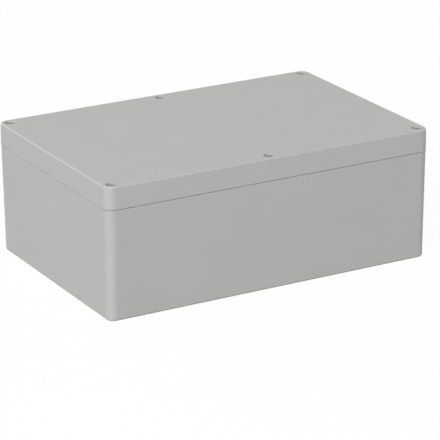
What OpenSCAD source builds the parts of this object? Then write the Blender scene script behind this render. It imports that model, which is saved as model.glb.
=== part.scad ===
// Sealed plastic enclosure: a deep base and a shallow lid with a gasket, held by six captive screws.
// The origin is the middle of the underside, X runs along the long sides and Z points up.

/* [Box] */
// Length of the closed box, measured on the lid at the seam
length = 240; // [180:1:320]
// Width of the closed box, measured on the lid at the seam
width = 160; // [110:1:240]
// Height of the closed box
height = 90; // [60:1:150]
// Height of the lid's sides, from the seam to the top
lid_h = 15.5; // [13:0.5:22]
// Radius of the four upright corners
corner_r = 6.5; // [6:0.1:8]
// Lean of the outer sides away from the seam, in degrees
draft = 0.7; // [0:0.1:1.2]

/* [Outer edges] */
// Radius round the lid's top edge
lid_edge_r = 1.3; // [1:0.1:3]
// Radius round the base's bottom edge
foot_edge_r = 1.6; // [0.8:0.1:3]
// How far the lid stands proud of the base at the seam
lid_proud = 0.2; // [0:0.05:0.5]
// Height of the shadow gap at the seam
seam_gap = 0.3; // [0.1:0.05:0.6]
// Depth of the shadow gap at the seam, measured on the base
seam_gap_depth = 0.7; // [0.3:0.1:1]
// Chamfer on the lid's lower edge
lid_seam_chamfer = 0.4; // [0.1:0.05:0.6]
// Chamfer on the base's upper edge
base_seam_chamfer = 0.3; // [0.05:0.05:0.4]

/* [Walls] */
// Thickness of the base's side walls at the rim
base_wall = 4; // [3.7:0.1:6]
// Thickness of the base's floor
floor_t = 3.5; // [2.5:0.1:6]
// Thickness of the lid's top
lid_t = 3; // [2:0.1:4]
// Radius at the foot of the base's inner walls
floor_root_r = 1.5; // [0.5:0.1:1.8]
// Radius at the roots of the lid's inner walls
lid_root_r = 0.8; // [0.3:0.1:0.9]

/* [Seal] */
// Width of the lid's outer rim, from the outside to the gasket groove
rim_land = 1.7; // [1.4:0.1:2.4]
// Width of the gasket groove
groove_w = 2.4; // [2:0.1:3]
// Depth of the gasket groove
groove_depth = 4; // [3:0.1:6]
// Thickness of the thin lips beside the groove
lip_t = 0.9; // [0.7:0.05:1.4]
// Depth of the gasket's face below the lid's rim, which the base's tongue fills
tongue_h = 1.2; // [0.8:0.1:2]
// Width of the base's tongue
tongue_w = 1.4; // [1.2:0.1:1.6]
// Radius of the two edges along the tongue's crest
tongue_edge_r = 0.5; // [0.2:0.05:0.55]
// Gap on each side of the gasket in its groove
gasket_gap = 0.1; // [0.05:0.05:0.2]
// Radius of the two edges along the gasket's face
gasket_edge_r = 0.6; // [0.2:0.05:0.7]
// Radius of the groove's outward bends, at its middle
bend_out_r = 3.2; // [2.4:0.1:4]
// Radius of the groove's inward bends, at its middle
bend_in_r = 4.2; // [3.2:0.1:5]

/* [Screw places] */
// Distance of each screw's axis from the outer sides
screw_inset = 6.4; // [6:0.1:8]
// Radius of the round boss at each corner screw
boss_r = 5.7; // [5.2:0.1:6]
// Distance from a screw's axis inwards to the groove
groove_past_screw = 4.9; // [4.5:0.1:7]
// Distance from a corner screw's axis along the long side to the groove
groove_beside_corner = 14.5; // [13:0.1:20]
// Distance from a middle screw's axis along the long side to the groove
groove_beside_middle = 6.8; // [6:0.1:10]
// Wall between a corner well and the inside of the base
partition_t = 2.6; // [2.2:0.1:4]
// Wall between a corner well and the outside of the base
well_wall = 3; // [2.4:0.1:3.6]
// Wall between a lid pocket and the outside of the lid
pocket_wall = 1.5; // [1.2:0.1:2.4]

/* [Lid screws] */
// Diameter over the screw's thread
thread_d = 3.9; // [3.6:0.1:3.9]
// Length of the thread
thread_len = 8.5; // [6:0.5:9]
// Diameter of the thin shank above the thread
waist_d = 2.9; // [2.4:0.1:3]
// Diameter of the head
head_d = 6; // [5.4:0.1:6.2]
// Height of the head
head_h = 2.2; // [2:0.1:3]
// Chamfer round the top of the head
head_edge = 0.5; // [0.2:0.1:0.8]
// Depth of the head's top below the lid's top
head_depth = 1.2; // [0.4:0.1:1.6]
// Diameter of the hole in the lid round the head
counterbore_d = 6.6; // [6.4:0.1:7.6]
// Chamfer at the mouth of that hole
counterbore_edge = 0.25; // [0.1:0.05:0.5]
// Thickness of the web that holds the screw in the lid
web_t = 2; // [1.5:0.1:3]
// Diameter of the hole in the web
web_hole_d = 3.4; // [3.2:0.1:3.5]
// Diameter of the hole below the web
lid_hole_d = 5; // [4.4:0.1:5.4]
// Width of each arm of the cross recess
recess_arm_w = 0.9; // [0.6:0.1:1.2]
// Reach of the cross recess across the head
recess_d = 3.4; // [2.8:0.1:4]
// Depth of the cross recess
recess_depth = 1.6; // [1:0.1:1.8]
// Diameter of the cross recess at its bottom
recess_floor_d = 1.6; // [1.2:0.1:2.2]

/* [Threaded bushes] */
// Outer diameter of a bush
bush_d = 6; // [5.4:0.1:6.4]
// Length of a bush
bush_len = 8; // [6:0.5:10]
// Bore of a bush
bush_bore_d = 4; // [4:0.05:4.2]
// Depth of the groove round the middle of a bush
bush_groove = 0.4; // [0.2:0.1:0.6]
// Width of the groove round the middle of a bush
bush_groove_w = 1.6; // [1.2:0.1:2]
// Chamfer at the ends of a bush
bush_edge = 0.3; // [0.1:0.1:0.5]
// Depth of a bush's end below the base's rim
bush_below = 0.2; // [0.1:0.1:0.5]
// Gap round a bush in its hole
bush_gap = 0.05; // [0.02:0.01:0.1]
// Chamfer at the mouth of that hole
bush_hole_edge = 0.3; // [0.1:0.05:0.5]
// Reach of the screw's tip past the bush
tip_past_bush = 0.7; // [0.3:0.1:2]
// Free depth in the column below the screw's tip
tip_room = 3; // [1:0.5:6]
// Diameter of the hole below a bush
tip_hole_d = 4.6; // [4.4:0.1:5]

/* [Mounting] */
// Diameter of the wall screw holes in the wells
wall_hole_d = 5; // [3.5:0.1:6]
// Distance of the wall screw holes from the short sides
wall_hole_inset_x = 16.2; // [15.5:0.1:17]
// Distance of the wall screw holes from the long sides
wall_hole_inset_y = 6.8; // [6.5:0.1:7.5]
// Diameter of the board pillars
pillar_d = 7; // [5:0.1:10]
// Height of the board pillars
pillar_h = 6; // [3:0.5:12]
// Diameter of the pillars' screw holes
pillar_hole_d = 2.5; // [2:0.1:3.2]
// Depth of the pillars' screw holes
pillar_hole_depth = 7; // [4:0.5:7]
// Chamfer round the top of the pillars
pillar_edge = 0.4; // [0.2:0.1:0.8]
// Radius at the foot of the pillars
pillar_root_r = 1; // [0.5:0.1:2]
// Distance of the board pillars from the short sides
pillar_inset_x = 20; // [14:1:40]
// Distance of the board pillars from the long sides
pillar_inset_y = 24; // [20:1:36]

/* [Hidden] */
$fn = 96;
// Overlap of a cut past the face that it opens
cut = 1;
// Extra radius that makes a rounded edge cross its two faces instead of only touching them
round_extra = 0.01;
// Least radius that a bend keeps inside a rounded root
root_room = 0.1;
// Step that the leaning sides' points keep to, so that straight and turned stretches meet exactly
grain = 0.001;

seam_z = height - lid_h;
half_l = length / 2;
half_w = width / 2;

// The groove's middle line lies this far in from the outside
seal_inset = rim_land + groove_w / 2;
// Where that line steps inwards round the corner screws, from the long and the short sides, and its half
// width round the middle screws
step_y = screw_inset + groove_past_screw + groove_w / 2;
step_x = screw_inset + groove_beside_corner + groove_w / 2;
step_middle = groove_beside_middle + groove_w / 2;

// Offsets from the groove's middle line to the faces that follow it
groove_side = groove_w / 2;
lip_side = groove_side + lip_t;
cavity_side = base_wall - seal_inset;
partition_side = partition_t - cavity_side;

// Radii of the roots, limited by the groove's outward bends
floor_r = min(floor_root_r, bend_out_r - cavity_side - root_room);
lid_r = min(lid_root_r, bend_out_r - lip_side - root_room);

// Heights along a lid screw
head_top_z = height - head_depth;
head_seat_z = head_top_z - head_h;
web_low_z = head_seat_z - web_t;
bush_top_z = seam_z - bush_below;
bush_low_z = bush_top_z - bush_len;
tip_z = bush_low_z - tip_past_bush;
thread_top_z = tip_z + thread_len;

BODY_GREY = "#bfbfbc";
GASKET_BEIGE = "#beb8ab";
STEEL = "#a9a9a6";
BRASS = "#b99a55";

// Repeats its children in all four corners by mirroring
module in_corners() {
    for (sx = [0, 1], sy = [0, 1])
        mirror([sx, 0, 0]) mirror([0, sy, 0]) children();
}

// Repeats its children at four points, turned so that each one faces its own corner
module in_quadrants(x, y) {
    for (quarter = [0 : 3]) {
        side_x = quarter == 0 || quarter == 3 ? 1 : -1;
        side_y = quarter < 2 ? 1 : -1;
        translate([side_x * x, side_y * y, 0]) rotate(90 * quarter) children();
    }
}

// Puts its children on a screw's axis: column -1, 0 or 1 from left to right, row -1 front or 1 back
module at_screw(column, row) {
    translate([column * (half_l - screw_inset), row * (half_w - screw_inset), 0]) children();
}

module at_screws() {
    for (column = [-1 : 1], row = [-1, 1]) at_screw(column, row) children();
}

// Flat rectangle with rounded corners, given by its half lengths
module rounded_rect(half_x, half_y, r) {
    square([2 * half_x, 2 * (half_y - r)], center = true);
    square([2 * (half_x - r), 2 * half_y], center = true);
    in_quadrants(half_x - r, half_y - r) circle(r);
}

// Fills the angle between the two axes with a hollow rounding
module hollow_corner(r) {
    difference() {
        square(r);
        translate([r, r]) circle(r);
    }
}

// Rounds a length to the grain
function on_grain(value) = round(value / grain) * grain;

// How far an outer side has leaned in, a height above the seam
function lean(tall) = on_grain((tall - lid_seam_chamfer) * tan(draft));

// Distance from a corner's axis to the middle of the rounding at the far edge of a side
function edge_middle(reach, tall, edge_r) = on_grain(reach - lean(tall - edge_r) - edge_r / cos(draft));

// What a rounded edge leaves out of a square corner
module edge_cutter(edge_r) {
    difference() {
        square(2 * edge_r);
        circle(edge_r + round_extra);
    }
}

// Section of one outer side, from a corner's axis outwards and from the seam to the far face
module side_section(reach, tall, edge_r, chamfer) {
    start_x = reach - lean(chamfer);
    difference() {
        polygon([
            [0, 0],
            [start_x - chamfer, 0],
            [start_x, chamfer],
            [reach - lean(tall), tall],
            [0, tall]
        ]);
        translate([edge_middle(reach, tall, edge_r), tall - edge_r]) edge_cutter(edge_r);
    }
}

// Section across the whole box, with the same side at both ends
module cross_section(half, reach, tall, edge_r, chamfer) {
    start_x = half + reach - lean(chamfer);
    end_x = half + reach - lean(tall);
    edge_x = half + edge_middle(reach, tall, edge_r);
    difference() {
        polygon([
            [chamfer - start_x, 0],
            [start_x - chamfer, 0],
            [start_x, chamfer],
            [end_x, tall],
            [-end_x, tall],
            [-start_x, chamfer]
        ]);
        translate([edge_x, tall - edge_r]) edge_cutter(edge_r);
        translate([-edge_x, tall - edge_r]) rotate(90) edge_cutter(edge_r);
    }
}

// Solid block with the outer form of one half of the box, standing on the seam
module outer_block(reach, tall, edge_r, chamfer) {
    run_x = half_l - corner_r;
    run_y = half_w - corner_r;
    rotate([90, 0, 90]) linear_extrude(2 * run_x, center = true)
        cross_section(run_y, reach, tall, edge_r, chamfer);
    rotate([90, 0, 0]) linear_extrude(2 * run_y, center = true)
        cross_section(run_x, reach, tall, edge_r, chamfer);
    in_quadrants(run_x, run_y) rotate_extrude(angle = 90) side_section(reach, tall, edge_r, chamfer);
}

// Notch that the groove's line makes round a middle screw, widened at its mouth
module middle_notch(offset_out) {
    half = step_middle - offset_out;
    low_y = half_w - step_y + offset_out;
    mouth_y = half_w - seal_inset + offset_out;
    inner_r = bend_in_r - offset_out;
    mouth_r = bend_out_r + offset_out;
    translate([-half, low_y + inner_r]) square([2 * half, mouth_y - low_y - inner_r + cut]);
    translate([inner_r - half, low_y]) square([2 * (half - inner_r), inner_r]);
    for (side = [-1, 1]) translate([side * (half - inner_r), low_y + inner_r]) circle(inner_r);
    translate([half, mouth_y]) rotate(-90) hollow_corner(mouth_r);
    translate([-half, mouth_y]) rotate(180) hollow_corner(mouth_r);
}

// Area inside the groove's middle line, moved outwards by an offset: it steps in round all six screws
module seal_area(offset_out) {
    inner_r = bend_in_r - offset_out;
    outer_r = bend_out_r + offset_out;
    difference() {
        union() {
            rounded_rect(half_l - seal_inset + offset_out, half_w - step_y + offset_out, outer_r);
            rounded_rect(half_l - step_x + offset_out, half_w - seal_inset + offset_out, outer_r);
            in_quadrants(half_l - step_x + offset_out, half_w - step_y + offset_out)
                hollow_corner(inner_r);
        }
        for (turn = [0, 180]) rotate(turn) middle_notch(offset_out);
    }
}

// Wall of a given height that follows the groove, between two offsets from its middle line
module seal_wall(from_in, to_out, tall) {
    difference() {
        linear_extrude(tall) seal_area(to_out);
        translate([0, 0, -cut]) linear_extrude(tall + 2 * cut) seal_area(-from_in);
    }
}

// Straight stretch of a section that faces a given way, about its middle point
module straight_run(middle, facing, run) {
    translate(middle) rotate(facing) rotate([90, 0, 0]) linear_extrude(run, center = true) children();
}

// Quarter turn of a section about a point, from a given angle onwards
module quarter_bend(middle, from, bend_r) {
    translate(middle) rotate(from) rotate_extrude(angle = 90) translate([bend_r, 0]) children();
}

// Sweeps a section along the groove's middle line, once round. The first child is the section with X
// pointing out of the box, and the second is the same with X pointing into it, for the inward bends.
module along_groove() {
    out_r = bend_out_r;
    in_r = bend_in_r;
    side_x = half_l - seal_inset;
    side_y = half_w - seal_inset;
    low_y = half_w - step_y;
    corner_x = half_l - step_x;
    in_corners() {
        straight_run([side_x, (low_y - out_r) / 2], 0, low_y - out_r) children(0);
        quarter_bend([side_x - out_r, low_y - out_r], 0, out_r) children(0);
        straight_run([(side_x - out_r + corner_x + in_r) / 2, low_y], 90, side_x - out_r - corner_x - in_r)
            children(0);
        quarter_bend([corner_x + in_r, low_y + in_r], 180, in_r) children(1);
        straight_run([corner_x, (low_y + in_r + side_y - out_r) / 2], 0, side_y - out_r - low_y - in_r)
            children(0);
        quarter_bend([corner_x - out_r, side_y - out_r], 0, out_r) children(0);
        straight_run([(corner_x + step_middle) / 2, side_y], 90, corner_x - step_middle - 2 * out_r)
            children(0);
        quarter_bend([step_middle + out_r, side_y - out_r], 90, out_r) children(0);
        straight_run([step_middle, (low_y + in_r + side_y - out_r) / 2], 180, side_y - out_r - low_y - in_r)
            children(0);
        quarter_bend([step_middle - in_r, low_y + in_r], 270, in_r) children(1);
        straight_run([(step_middle - in_r) / 2, low_y], 90, step_middle - in_r) children(0);
    }
}

// Section of a bar on the line, with its two upper edges rounded and its foot sunk below the line
module bar_section(wide, tall, edge_r, sink) {
    difference() {
        translate([-wide / 2, -sink]) square([wide, tall + sink]);
        translate([wide / 2 - edge_r, tall - edge_r]) edge_cutter(edge_r);
        translate([edge_r - wide / 2, tall - edge_r]) rotate(90) edge_cutter(edge_r);
    }
}

// Section of a rounded inside angle between the two axes, sunk into both walls by a cut
module root_section(r) {
    difference() {
        translate([-cut, -cut]) square(r + cut);
        translate([r, r]) circle(r + round_extra);
    }
}

// Rounded foot along an inner wall that lies an offset inside the groove's middle line
module wall_root(offset_in, r) {
    along_groove() {
        translate([-offset_in, 0]) rotate(90) root_section(r);
        translate([offset_in, 0]) root_section(r);
    }
}

// Hollow beside the boss in the far right corner, inside the outer wall and outside the groove's lip
module well_area(lip_offset, outer_wall) {
    screw_x = half_l - screw_inset;
    reach = step_x + bend_out_r - screw_inset;
    difference() {
        translate([screw_x - reach, 0]) square([reach, half_w - outer_wall]);
        seal_area(lip_offset);
        translate([screw_x, half_w - screw_inset]) circle(boss_r);
    }
}

// Base

module board_pillar() {
    top_z = floor_t + pillar_h;
    difference() {
        union() {
            cylinder(d = pillar_d, h = top_z - pillar_edge);
            translate([0, 0, top_z - pillar_edge])
                cylinder(d1 = pillar_d, d2 = pillar_d - 2 * pillar_edge, h = pillar_edge);
            translate([0, 0, floor_t]) rotate_extrude()
                translate([pillar_d / 2, 0]) root_section(pillar_root_r);
        }
        translate([0, 0, top_z - pillar_hole_depth]) cylinder(d = pillar_hole_d, h = pillar_hole_depth + cut);
    }
}

module bush_hole() {
    hole_d = bush_d + 2 * bush_gap;
    translate([0, 0, bush_low_z]) cylinder(d = hole_d, h = height);
    translate([0, 0, seam_z - bush_hole_edge])
        cylinder(d1 = hole_d, d2 = hole_d + 2 * (bush_hole_edge + cut), h = bush_hole_edge + cut);
    translate([0, 0, tip_z - tip_room]) cylinder(d = tip_hole_d, h = height);
}

module base() {
    color(BODY_GREY) {
        difference() {
            union() {
                translate([0, 0, seam_z - seam_gap]) mirror([0, 0, 1])
                    outer_block(corner_r - lid_proud, seam_z - seam_gap, foot_edge_r, base_seam_chamfer);
                land = lid_proud + seam_gap_depth;
                translate([0, 0, seam_z - seam_gap - cut]) linear_extrude(seam_gap + cut)
                    rounded_rect(half_l - land, half_w - land, corner_r - land);
                translate([0, 0, seam_z]) along_groove() {
                    bar_section(tongue_w, tongue_h, tongue_edge_r, cut);
                    bar_section(tongue_w, tongue_h, tongue_edge_r, cut);
                }
            }
            translate([0, 0, floor_t]) linear_extrude(height) seal_area(-cavity_side);
            translate([0, 0, floor_t]) in_corners() linear_extrude(height)
                well_area(partition_side, well_wall);
            in_quadrants(half_l - wall_hole_inset_x, half_w - wall_hole_inset_y)
                translate([0, 0, -cut]) cylinder(d = wall_hole_d, h = floor_t + 2 * cut);
            at_screws() bush_hole();
        }
        translate([0, 0, floor_t]) wall_root(cavity_side, floor_r);
        in_quadrants(half_l - pillar_inset_x, half_w - pillar_inset_y) board_pillar();
    }
}

// Lid

module screw_hole() {
    translate([0, 0, head_seat_z]) cylinder(d = counterbore_d, h = height);
    mouth = counterbore_edge + cut;
    translate([0, 0, height - counterbore_edge])
        cylinder(d1 = counterbore_d, d2 = counterbore_d + 2 * mouth, h = mouth);
    translate([0, 0, seam_z]) cylinder(d = web_hole_d, h = lid_h);
    translate([0, 0, seam_z - cut]) cylinder(d = lid_hole_d, h = web_low_z - seam_z + cut);
}

module lid() {
    color(BODY_GREY) {
        difference() {
            translate([0, 0, seam_z]) outer_block(corner_r, lid_h, lid_edge_r, lid_seam_chamfer);
            translate([0, 0, seam_z - cut]) {
                linear_extrude(lid_h - lid_t + cut) seal_area(-lip_side);
                seal_wall(groove_side, groove_side, groove_depth + cut);
                in_corners() linear_extrude(lid_h - lid_t + cut) well_area(lip_side, pocket_wall);
            }
            at_screws() screw_hole();
        }
        translate([0, 0, height - lid_t]) rotate([180, 0, 0]) wall_root(lip_side, lid_r);
    }
}

module lid_gasket() {
    wide = groove_w - 2 * gasket_gap;
    tall = groove_depth - tongue_h;
    color(GASKET_BEIGE) translate([0, 0, seam_z + groove_depth]) rotate([180, 0, 0])
        along_groove() {
            bar_section(wide, tall, gasket_edge_r, 0);
            bar_section(wide, tall, gasket_edge_r, 0);
        }
}

// Screws and bushes

module cross_recess() {
    intersection() {
        linear_extrude(recess_depth + cut) {
            square([recess_d, recess_arm_w], center = true);
            square([recess_arm_w, recess_d], center = true);
        }
        cylinder(d1 = recess_floor_d, d2 = recess_d, h = recess_depth + cut);
    }
}

module lid_screw(column, row) {
    thread_r = thread_d / 2;
    waist_r = waist_d / 2;
    head_r = head_d / 2;
    run_out = thread_r - waist_r;
    color(STEEL) at_screw(column, row) difference() {
        rotate_extrude() polygon([
            [0, tip_z],
            [waist_r, tip_z],
            [thread_r, tip_z + run_out],
            [thread_r, thread_top_z - run_out],
            [waist_r, thread_top_z],
            [waist_r, head_seat_z],
            [head_r, head_seat_z],
            [head_r, head_top_z - head_edge],
            [head_r - head_edge, head_top_z],
            [0, head_top_z]
        ]);
        translate([0, 0, head_top_z - recess_depth]) cross_recess();
    }
}

module threaded_bush(column, row) {
    bore_r = bush_bore_d / 2;
    outer_r = bush_d / 2;
    groove_r = outer_r - bush_groove;
    groove_low = (bush_len - bush_groove_w) / 2;
    groove_high = groove_low + bush_groove_w;
    color(BRASS) at_screw(column, row) translate([0, 0, bush_low_z]) rotate_extrude() polygon([
        [bore_r, 0],
        [outer_r - bush_edge, 0],
        [outer_r, bush_edge],
        [outer_r, groove_low],
        [groove_r, groove_low + bush_groove],
        [groove_r, groove_high - bush_groove],
        [outer_r, groove_high],
        [outer_r, bush_len - bush_edge],
        [outer_r - bush_edge, bush_len],
        [bore_r, bush_len]
    ]);
}

base();
lid();
lid_gasket();
lid_screw(-1, -1);  // lid_screw_front_left
lid_screw(0, -1);  // lid_screw_front_middle
lid_screw(1, -1);  // lid_screw_front_right
lid_screw(-1, 1);  // lid_screw_back_left
lid_screw(0, 1);  // lid_screw_back_middle
lid_screw(1, 1);  // lid_screw_back_right
threaded_bush(-1, -1);  // threaded_bush_front_left
threaded_bush(0, -1);  // threaded_bush_front_middle
threaded_bush(1, -1);  // threaded_bush_front_right
threaded_bush(-1, 1);  // threaded_bush_back_left
threaded_bush(0, 1);  // threaded_bush_back_middle
threaded_bush(1, 1);  // threaded_bush_back_right
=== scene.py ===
"""Looks of a light grey plastic enclosure with a screwed, gasketed lid. Lengths are in metres, and in
millimetres where a comment says so."""

import math

import bmesh
import bpy
from mathutils import Matrix, Vector


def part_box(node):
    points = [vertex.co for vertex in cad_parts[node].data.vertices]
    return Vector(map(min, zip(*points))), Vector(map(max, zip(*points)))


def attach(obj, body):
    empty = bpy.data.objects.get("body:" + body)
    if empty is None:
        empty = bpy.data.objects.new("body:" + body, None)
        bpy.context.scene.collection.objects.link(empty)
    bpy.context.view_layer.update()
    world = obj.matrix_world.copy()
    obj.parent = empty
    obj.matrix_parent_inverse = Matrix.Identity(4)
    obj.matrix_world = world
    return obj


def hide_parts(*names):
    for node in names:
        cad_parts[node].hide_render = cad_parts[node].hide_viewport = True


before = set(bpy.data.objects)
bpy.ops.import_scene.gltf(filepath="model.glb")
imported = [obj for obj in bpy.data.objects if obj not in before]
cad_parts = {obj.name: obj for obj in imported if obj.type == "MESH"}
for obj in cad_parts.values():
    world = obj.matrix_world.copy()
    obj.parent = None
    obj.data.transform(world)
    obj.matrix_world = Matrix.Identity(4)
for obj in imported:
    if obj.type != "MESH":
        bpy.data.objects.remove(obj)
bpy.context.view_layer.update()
SCENE = bpy.context.scene
SCENE.view_settings.view_transform = "Standard"

MM = 0.001
UPRIGHT = (0.0, 0.0, 1.0)
SCREW_PLACES = [f"{row}_{column}" for row in ("front", "back") for column in ("left", "middle", "right")]


def direction(azimuth, elevation):
    """Unit vector at an azimuth, 0 for the front and 90 degrees for the right, and at an elevation."""
    flat = math.cos(elevation)
    return Vector((math.sin(azimuth) * flat, -math.cos(azimuth) * flat, math.sin(elevation)))


def new_object(name, bm):
    """Object in the scene with the mesh of a bmesh, which is freed."""
    mesh = bpy.data.meshes.new(name)
    bm.to_mesh(mesh)
    bm.free()
    made = bpy.data.objects.new(name, mesh)
    SCENE.collection.objects.link(made)
    return made


# Camera, solved from the outline and the edges of the closed box, with its sensor in millimetres
PHOTO_SIDE = 440
FOCAL_PIXELS = 2605.5
SENSOR_W = 36.0
VIEW_AZIMUTH = math.radians(-29.358)
VIEW_ELEVATION = math.radians(19.709)
VIEW_ROLL = math.radians(-0.345)
VIEW_DISTANCE = 1.745
VIEW_MOVE_RIGHT = 0.00486
VIEW_MOVE_UP = -0.02071
VIEW_TARGET = Vector((0.0, 0.0, 0.045))
CLIP_NEAR = 0.05
CLIP_FAR = 20.0


def add_camera():
    """Camera at the photograph's place, looking along its own -Z."""
    back = direction(VIEW_AZIMUTH, VIEW_ELEVATION)
    level_right = Vector((math.cos(VIEW_AZIMUTH), math.sin(VIEW_AZIMUTH), 0.0))
    level_up = back.cross(level_right)
    right = level_right * math.cos(VIEW_ROLL) + level_up * math.sin(VIEW_ROLL)
    up = level_up * math.cos(VIEW_ROLL) - level_right * math.sin(VIEW_ROLL)
    place = VIEW_TARGET + back * VIEW_DISTANCE + right * VIEW_MOVE_RIGHT + up * VIEW_MOVE_UP
    data = bpy.data.cameras.new("camera")
    data.sensor_width = SENSOR_W
    data.lens = FOCAL_PIXELS / PHOTO_SIDE * SENSOR_W
    data.clip_start = CLIP_NEAR
    data.clip_end = CLIP_FAR
    camera = bpy.data.objects.new("camera", data)
    turn = Matrix((right, up, back)).transposed().to_4x4()
    camera.matrix_world = Matrix.Translation(place) @ turn
    SCENE.collection.objects.link(camera)
    SCENE.camera = camera


# Stage and light

# Floor and sky, with the tones and levels for direct views and for the light on the object
FLOOR_HALF = 12.0
FLOOR_DROP = 0.2 * MM
FLOOR_GREY = (0.50, 0.50, 0.50, 1.0)
FLOOR_WHITE = (0.97, 0.97, 0.97, 1.0)
FLOOR_GLOW = 0.95
SKY_WHITE = (1.0, 1.0, 1.0, 1.0)
SKY_LEVEL = 0.325
SKY_LEVEL_SEEN = 1.0
# A key lamp at the front left, and two low fills, of which the back one gives the lid's left edge its shine
LAMP_DISTANCE = 6.0
KEY_AZIMUTH = math.radians(-48.7)
KEY_ELEVATION = math.radians(34.6)
KEY_SIDE = 3.0
KEY_POWER = 330.0
FILL_ELEVATION = math.radians(10.0)
FILL_SIDE = 3.0
BACK_FILL_AZIMUTH = math.radians(184.0)
BACK_FILL_POWER = 120.0
RIGHT_FILL_AZIMUTH = math.radians(95.0)
RIGHT_FILL_POWER = 95.0


def seen_directly(nodes, links):
    """Socket that is 1 on camera, glossy and transmission rays and 0 on the rest."""
    path = nodes.new("ShaderNodeLightPath")
    total = path.outputs["Is Camera Ray"]
    for name in ("Is Glossy Ray", "Is Transmission Ray"):
        add = nodes.new("ShaderNodeMath")
        add.operation = "ADD"
        add.use_clamp = True
        links.new(total, add.inputs[0])
        links.new(path.outputs[name], add.inputs[1])
        total = add.outputs[0]
    return total


def floor_pale():
    """Floor finish, nearly white where it is seen directly and grey in the light that it throws back."""
    material = bpy.data.materials.new("floor_pale")
    material.use_nodes = True
    nodes, links = material.node_tree.nodes, material.node_tree.links
    nodes.clear()
    seen = seen_directly(nodes, links)
    tone = nodes.new("ShaderNodeMixRGB")
    tone.inputs["Color1"].default_value = FLOOR_GREY
    tone.inputs["Color2"].default_value = FLOOR_WHITE
    links.new(seen, tone.inputs["Fac"])
    diffuse = nodes.new("ShaderNodeBsdfDiffuse")
    links.new(tone.outputs["Color"], diffuse.inputs["Color"])
    glow = nodes.new("ShaderNodeEmission")
    share = nodes.new("ShaderNodeMath")
    share.operation = "MULTIPLY"
    share.inputs[1].default_value = FLOOR_GLOW
    links.new(seen, share.inputs[0])
    mix = nodes.new("ShaderNodeMixShader")
    links.new(share.outputs[0], mix.inputs[0])
    links.new(diffuse.outputs[0], mix.inputs[1])
    links.new(glow.outputs[0], mix.inputs[2])
    output = nodes.new("ShaderNodeOutputMaterial")
    links.new(mix.outputs[0], output.inputs["Surface"])
    return material


def add_floor():
    """Pale floor just under the box, which keeps a faint shadow."""
    bm = bmesh.new()
    bmesh.ops.create_grid(bm, x_segments=1, y_segments=1, size=FLOOR_HALF)
    bmesh.ops.translate(bm, verts=bm.verts, vec=(0.0, 0.0, -FLOOR_DROP))
    floor = new_object("floor", bm)
    floor.data.materials.append(floor_pale())


def add_world():
    """White where it is seen directly, and an even soft sky for the light on the object."""
    world = bpy.data.worlds.new("studio")
    world.use_nodes = True
    nodes, links = world.node_tree.nodes, world.node_tree.links
    level = nodes.new("ShaderNodeMapRange")
    level.inputs["To Min"].default_value = SKY_LEVEL
    level.inputs["To Max"].default_value = SKY_LEVEL_SEEN
    links.new(seen_directly(nodes, links), level.inputs["Value"])
    background = nodes["Background"]
    background.inputs["Color"].default_value = SKY_WHITE
    links.new(level.outputs["Result"], background.inputs["Strength"])
    SCENE.world = world


def add_softbox(name, azimuth, elevation, side, power):
    """Square lamp that faces the middle of the box."""
    data = bpy.data.lights.new(name, "AREA")
    data.shape = "SQUARE"
    data.size = side
    data.energy = power
    towards = direction(azimuth, elevation)
    lamp = bpy.data.objects.new(name, data)
    lamp.location = VIEW_TARGET + towards * LAMP_DISTANCE
    lamp.rotation_euler = towards.to_track_quat("Z", "Y").to_euler()
    SCENE.collection.objects.link(lamp)


# Finishes

# Noise keeps to its middle values, so a colour drifts over these only
DRIFT_FROM = 0.3
DRIFT_TO = 0.7


def new_finish(name, roughness=0.5, metallic=0.0, specular=0.5):
    """Principled material with values that are the same all over, before anything varies them."""
    material = bpy.data.materials.new(name)
    material.use_nodes = True
    shader = material.node_tree.nodes["Principled BSDF"]
    shader.inputs["Roughness"].default_value = roughness
    shader.inputs["Metallic"].default_value = metallic
    shader.inputs["Specular IOR Level"].default_value = specular
    return material, shader


def noise(material, scale, detail=2.0):
    """Noise over the piece's own place, with about this many spots to a metre."""
    nodes, links = material.node_tree.nodes, material.node_tree.links
    place = nodes.new("ShaderNodeTexCoord")
    texture = nodes.new("ShaderNodeTexNoise")
    texture.inputs["Scale"].default_value = scale
    texture.inputs["Detail"].default_value = detail
    links.new(place.outputs["Object"], texture.inputs["Vector"])
    return texture.outputs["Fac"]


def vary_color(material, shader, factor, dark, light):
    """Base colour that drifts between two near tones."""
    nodes, links = material.node_tree.nodes, material.node_tree.links
    ramp = nodes.new("ShaderNodeValToRGB")
    first, last = ramp.color_ramp.elements
    first.position = DRIFT_FROM
    first.color = (*dark, 1.0)
    last.position = DRIFT_TO
    last.color = (*light, 1.0)
    links.new(factor, ramp.inputs["Fac"])
    links.new(ramp.outputs["Color"], shader.inputs["Base Color"])


def vary_roughness(material, shader, factor, low, high):
    """Gloss that drifts between two values."""
    nodes, links = material.node_tree.nodes, material.node_tree.links
    span = nodes.new("ShaderNodeMapRange")
    span.inputs["To Min"].default_value = low
    span.inputs["To Max"].default_value = high
    links.new(factor, span.inputs["Value"])
    links.new(span.outputs["Result"], shader.inputs["Roughness"])


def bump(material, shader, height, strength, distance):
    """Fine relief from a height between 0 and 1."""
    nodes, links = material.node_tree.nodes, material.node_tree.links
    relief = nodes.new("ShaderNodeBump")
    relief.inputs["Strength"].default_value = strength
    relief.inputs["Distance"].default_value = distance
    links.new(height, relief.inputs["Height"])
    links.new(relief.outputs["Normal"], shader.inputs["Normal"])


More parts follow.
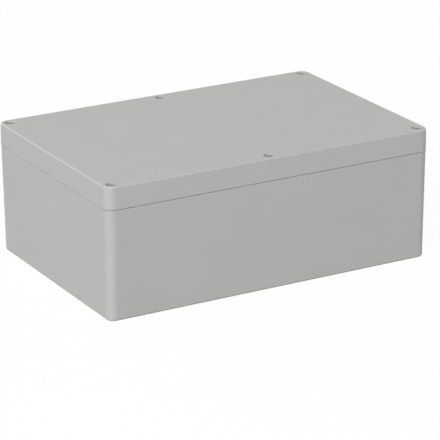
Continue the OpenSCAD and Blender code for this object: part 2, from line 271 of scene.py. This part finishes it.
def moulded_grey():
    """Light grey moulded plastic with a fine matt grain."""
    material, shader = new_finish("moulded_grey", specular=0.3)
    drift = noise(material, scale=45.0)
    vary_color(material, shader, drift, dark=(0.461, 0.461, 0.450), light=(0.471, 0.471, 0.460))
    vary_roughness(material, shader, noise(material, scale=900.0), low=0.52, high=0.62)
    grain = noise(material, scale=3500.0, detail=3.0)
    bump(material, shader, grain, strength=0.12, distance=0.04 * MM)
    return material


def seal_foam():
    """Beige seal with a soft, slightly open surface."""
    material, shader = new_finish("seal_foam", roughness=0.85)
    drift = noise(material, scale=1200.0)
    vary_color(material, shader, drift, dark=(0.485, 0.46, 0.405), light=(0.535, 0.51, 0.455))
    cells = noise(material, scale=2600.0, detail=4.0)
    bump(material, shader, cells, strength=0.3, distance=0.08 * MM)
    return material


def shade_darkened_steel():
    """Steel of the lid screws, its tone darkened as painted shade of the recesses that the heads sit in."""
    material, shader = new_finish("shade_darkened_steel", metallic=1.0)
    drift = noise(material, scale=700.0)
    # Painted shade: both tones are darker than bare steel and stand in for the shade in the screw recesses
    vary_color(material, shader, drift, dark=(0.235, 0.235, 0.23), light=(0.265, 0.265, 0.26))
    vary_roughness(material, shader, noise(material, scale=1500.0), low=0.28, high=0.42)
    return material


def turned_brass():
    """Brass of the threaded bushes."""
    material, shader = new_finish("turned_brass", metallic=1.0)
    drift = noise(material, scale=700.0)
    vary_color(material, shader, drift, dark=(0.57, 0.41, 0.18), light=(0.63, 0.47, 0.22))
    vary_roughness(material, shader, noise(material, scale=1200.0), low=0.26, high=0.4)
    return material


# Turned pieces

# Screw, in millimetres: a head with a cross recess, a thin shank and an M4 thread
HEAD_H = 2.2
HEAD_TOP_ROUND = 0.5
HEAD_TOP_STEPS = 4
HEAD_SEAT_ROUND = 0.12
HEAD_SEAT_STEPS = 2
SHANK_R = 1.45
SHANK_ROOT = 0.2
THREAD_LEN = 8.5
THREAD_ROOT_R = 1.5
THREAD_CREST_R = 1.95
TIP_R = 1.1
TIP_CHAMFER = 0.4
RECESS_REACH = 3.4
RECESS_FLOOR_REACH = 1.6
RECESS_ARM_W = 0.9
RECESS_FLOOR_W = 0.7
RECESS_DEPTH = 1.6
RECESS_OVER = 0.4
# Bush, in millimetres: two knurled bands on either side of a groove, and an inner thread
BUSH_BORE_R = 2.0
BUSH_CHAMFER = 0.3
BUSH_BORE_CHAMFER = 0.2
BUSH_GROOVE_W = 1.6
BUSH_GROOVE = 0.4
BUSH_KNURL = 0.12
BUSH_THREAD_R = 1.74
# Both threads, in millimetres and radians: a ridge is sunk into its core and stops short of its ends
THREAD_PITCH = 0.7
THREAD_CREST_HALF = 0.05
THREAD_FLANK = math.tan(math.radians(30.0))
THREAD_SUNK = 0.1
THREAD_END = 0.6
THREAD_RUN_OUT = math.radians(40.0)
# Steps of a full turn: on round faces, two for each knurl tooth, and along a thread
ROUND_STEPS = 72
THREAD_STEPS = 36
# How near two points are one, how near a point is on a ring, and the angle from which an edge is sharp
MERGE = 0.001 * MM
RING_TOLERANCE = 0.01 * MM
SHARP_ANGLE = math.radians(35.0)


def spun(bm, outline, centre, closed=False):
    """Full turn of an outline of (radius, height) points in millimetres about an upright axis, with flat
    faces over open ends."""
    verts = [bm.verts.new(centre + Vector((r * MM, 0.0, z * MM))) for r, z in outline]
    pairs = list(zip(verts, verts[1:]))
    if closed:
        pairs.append((verts[-1], verts[0]))
    edges = [bm.edges.new(pair) for pair in pairs]
    bmesh.ops.spin(bm, geom=verts + edges, cent=centre, axis=UPRIGHT, angle=math.tau, steps=ROUND_STEPS,
                   use_merge=True)
    bmesh.ops.remove_doubles(bm, verts=bm.verts, dist=MERGE)
    bmesh.ops.holes_fill(bm, edges=bm.edges)
    bmesh.ops.recalc_face_normals(bm, faces=bm.faces)


def round_ring(bm, centre, radius, height, size, segments):
    """Rounds the circular edge at a radius and a height, all in millimetres."""
    def on_ring(vert):
        away = vert.co - centre
        off_radius = abs(away.xy.length - radius * MM)
        off_height = abs(away.z - height * MM)
        return max(off_radius, off_height) < RING_TOLERANCE
    ring = [edge for edge in bm.edges if all(on_ring(vert) for vert in edge.verts)]
    bmesh.ops.bevel(bm, geom=ring, offset=size * MM, offset_type="OFFSET", affect="EDGES", segments=segments,
                    profile=0.5, material=-1, clamp_overlap=True)


def push_radially(verts, centre, radius):
    """Moves vertices to a radius, in millimetres, from an upright axis."""
    for vert in verts:
        away = vert.co - centre
        vert.co.xy = centre.xy + away.xy.normalized() * radius * MM


def thread_ridge(bm, centre, low, high, sunk_r, crest_r):
    """Right-hand helical ridge between two heights in millimetres, run out into its core at both ends."""
    foot_half = THREAD_CREST_HALF + abs(crest_r - sunk_r) * THREAD_FLANK
    section = [
        (sunk_r, -foot_half),
        (crest_r, -THREAD_CREST_HALF),
        (crest_r, THREAD_CREST_HALF),
        (sunk_r, foot_half),
    ]
    first = [bm.verts.new(centre + Vector((r * MM, 0.0, (low + z) * MM))) for r, z in section]
    face = bm.faces.new(first)
    swept = first + list(face.edges) + [face]
    main_turn = (high - low) / THREAD_PITCH * math.tau - 2 * THREAD_RUN_OUT
    main_steps = round(main_turn / math.tau * THREAD_STEPS)
    for angle, steps in ((THREAD_RUN_OUT, 1), (main_turn, main_steps), (THREAD_RUN_OUT, 1)):
        rise = angle / math.tau * THREAD_PITCH / steps * MM
        made = bmesh.ops.spin(bm, geom=swept, cent=centre, dvec=(0.0, 0.0, rise), axis=UPRIGHT,
                              angle=angle, steps=steps)
        swept = made["geom_last"]
    last = [item for item in swept if isinstance(item, bmesh.types.BMVert)]
    for ridge_end in (first, last):
        push_radially(ridge_end, centre, sunk_r)
        middle = sum((vert.co for vert in ridge_end), Vector()) / len(ridge_end)
        bmesh.ops.pointmerge(bm, verts=ridge_end, merge_co=middle)
    bmesh.ops.recalc_face_normals(bm, faces=bm.faces)


def finish_piece(name, bm, material, body, node):
    """Piece of a finished mesh that rides on a body and stands for a CAD node."""
    piece = new_object(name, bm)
    piece.data.materials.append(material)
    for polygon in piece.data.polygons:
        polygon.use_smooth = True
    piece.data.set_sharp_from_angle(angle=SHARP_ANGLE)
    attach(piece, body)
    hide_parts(node)


def node_place(node):
    """Axis of a turned CAD node as a point at height 0, then its lowest and highest heights and its radius
    in millimetres."""
    low, high = (Vector(corner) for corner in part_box(node))
    middle = (low + high) / 2
    return Vector((middle.x, middle.y, 0.0)), low.z / MM, high.z / MM, (high.x - low.x) / 2 / MM


def recess_arm(centre, top, along_x):
    """Tapered cutter for one arm of the cross recess."""
    over_depth = (RECESS_DEPTH + RECESS_OVER) / RECESS_DEPTH
    over_reach = RECESS_FLOOR_REACH + (RECESS_REACH - RECESS_FLOOR_REACH) * over_depth
    over_w = RECESS_FLOOR_W + (RECESS_ARM_W - RECESS_FLOOR_W) * over_depth
    bm = bmesh.new()
    bmesh.ops.create_cube(bm, size=1.0)
    for vert in bm.verts:
        if vert.co.z > 0:
            reach, across, height = over_reach, over_w, top + RECESS_OVER
        else:
            reach, across, height = RECESS_FLOOR_REACH, RECESS_FLOOR_W, top - RECESS_DEPTH
        x_size, y_size = (reach, across) if along_x else (across, reach)
        vert.co = centre + Vector((vert.co.x * x_size * MM, vert.co.y * y_size * MM, height * MM))
    return new_object("recess_arm", bm)


def cut_recess(bm, centre, top):
    """Sinks the cross recess into a screw head and gives the new bmesh back."""
    blank = new_object("screw_blank", bm)
    arms = [recess_arm(centre, top, along_x) for along_x in (True, False)]
    for arm in arms:
        cut = blank.modifiers.new(arm.name, "BOOLEAN")
        cut.operation = "DIFFERENCE"
        cut.solver = "EXACT"
        cut.object = arm
    ready = blank.evaluated_get(bpy.context.evaluated_depsgraph_get())
    result = bmesh.new()
    result.from_mesh(ready.to_mesh())
    ready.to_mesh_clear()
    bmesh.ops.remove_doubles(result, verts=result.verts, dist=MERGE)
    bmesh.ops.dissolve_degenerate(result, edges=result.edges, dist=MERGE)
    for helper in [blank] + arms:
        old = helper.data
        bpy.data.objects.remove(helper)
        bpy.data.meshes.remove(old)
    return result


def lid_screw(place, steel):
    """Captive lid screw with a rounded head, a cross recess, a thin shank and a thread."""
    node = f"lid_screw_{place}"
    centre, tip, top, head_r = node_place(node)
    seat = top - HEAD_H
    thread_top = tip + THREAD_LEN
    outline = [
        (TIP_R, tip),
        (THREAD_ROOT_R, tip + TIP_CHAMFER),
        (THREAD_ROOT_R, thread_top - TIP_CHAMFER),
        (SHANK_R, thread_top),
        (SHANK_R, seat - SHANK_ROOT),
        (SHANK_R + SHANK_ROOT, seat),
        (head_r, seat),
        (head_r, top),
    ]
    bm = bmesh.new()
    spun(bm, outline, centre)
    round_ring(bm, centre, head_r, top, HEAD_TOP_ROUND, HEAD_TOP_STEPS)
    round_ring(bm, centre, head_r, seat, HEAD_SEAT_ROUND, HEAD_SEAT_STEPS)
    bm = cut_recess(bm, centre, top)
    thread_ridge(bm, centre, tip + THREAD_END, thread_top - THREAD_END,
                 THREAD_ROOT_R - THREAD_SUNK, THREAD_CREST_R)
    finish_piece(f"turned_screw_{place}", bm, steel, f"screw_{place}", node)


def knurl(bm, centre, outer_r):
    """Pushes every second line of vertices on the outside of a bush inwards."""
    foot_r = outer_r - BUSH_KNURL
    for vert in bm.verts:
        away = vert.co - centre
        line = round(math.atan2(away.y, away.x) / math.tau * ROUND_STEPS)
        if line % 2 and away.xy.length > foot_r * MM:
            push_radially([vert], centre, foot_r)


def threaded_bush(place, brass):
    """Brass bush with two knurled bands and an inner thread between the turns of the screw's thread."""
    node = f"threaded_bush_{place}"
    centre, low, high, outer_r = node_place(node)
    middle = (low + high) / 2
    groove_low = middle - BUSH_GROOVE_W / 2
    groove_high = middle + BUSH_GROOVE_W / 2
    neck_r = outer_r - BUSH_GROOVE
    end_r = outer_r - BUSH_CHAMFER
    mouth_r = BUSH_BORE_R + BUSH_BORE_CHAMFER
    outline = [
        (mouth_r, low),
        (end_r, low),
        (outer_r, low + BUSH_CHAMFER),
        (outer_r, groove_low),
        (neck_r, groove_low + BUSH_GROOVE),
        (neck_r, groove_high - BUSH_GROOVE),
        (outer_r, groove_high),
        (outer_r, high - BUSH_CHAMFER),
        (end_r, high),
        (mouth_r, high),
        (BUSH_BORE_R, high - BUSH_BORE_CHAMFER),
        (BUSH_BORE_R, low + BUSH_BORE_CHAMFER),
    ]
    bm = bmesh.new()
    spun(bm, outline, centre, closed=True)
    knurl(bm, centre, outer_r)
    screw_tip = node_place(f"lid_screw_{place}")[1]
    between = screw_tip + THREAD_END + THREAD_PITCH / 2
    skipped = math.ceil((low + THREAD_END - between) / THREAD_PITCH)
    thread_ridge(bm, centre, between + skipped * THREAD_PITCH, high - THREAD_END,
                 BUSH_BORE_R + THREAD_SUNK, BUSH_THREAD_R)
    finish_piece(f"knurled_bush_{place}", bm, brass, "base", node)


def paint(node, material):
    """Gives a CAD node one finish."""
    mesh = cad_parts[node].data
    mesh.materials.clear()
    mesh.materials.append(material)


def dress():
    """Finishes of the mouldings and the seal, and the turned pieces that stand for the screws and bushes."""
    grey, foam, steel, brass = moulded_grey(), seal_foam(), shade_darkened_steel(), turned_brass()
    paint("base", grey)
    paint("lid", grey)
    paint("lid_gasket", foam)
    for place in SCREW_PLACES:
        lid_screw(place, steel)
        threaded_bush(place, brass)


add_camera()
add_floor()
add_world()
add_softbox("key", KEY_AZIMUTH, KEY_ELEVATION, KEY_SIDE, KEY_POWER)
add_softbox("back_fill", BACK_FILL_AZIMUTH, FILL_ELEVATION, FILL_SIDE, BACK_FILL_POWER)
add_softbox("right_fill", RIGHT_FILL_AZIMUTH, FILL_ELEVATION, FILL_SIDE, RIGHT_FILL_POWER)
dress()
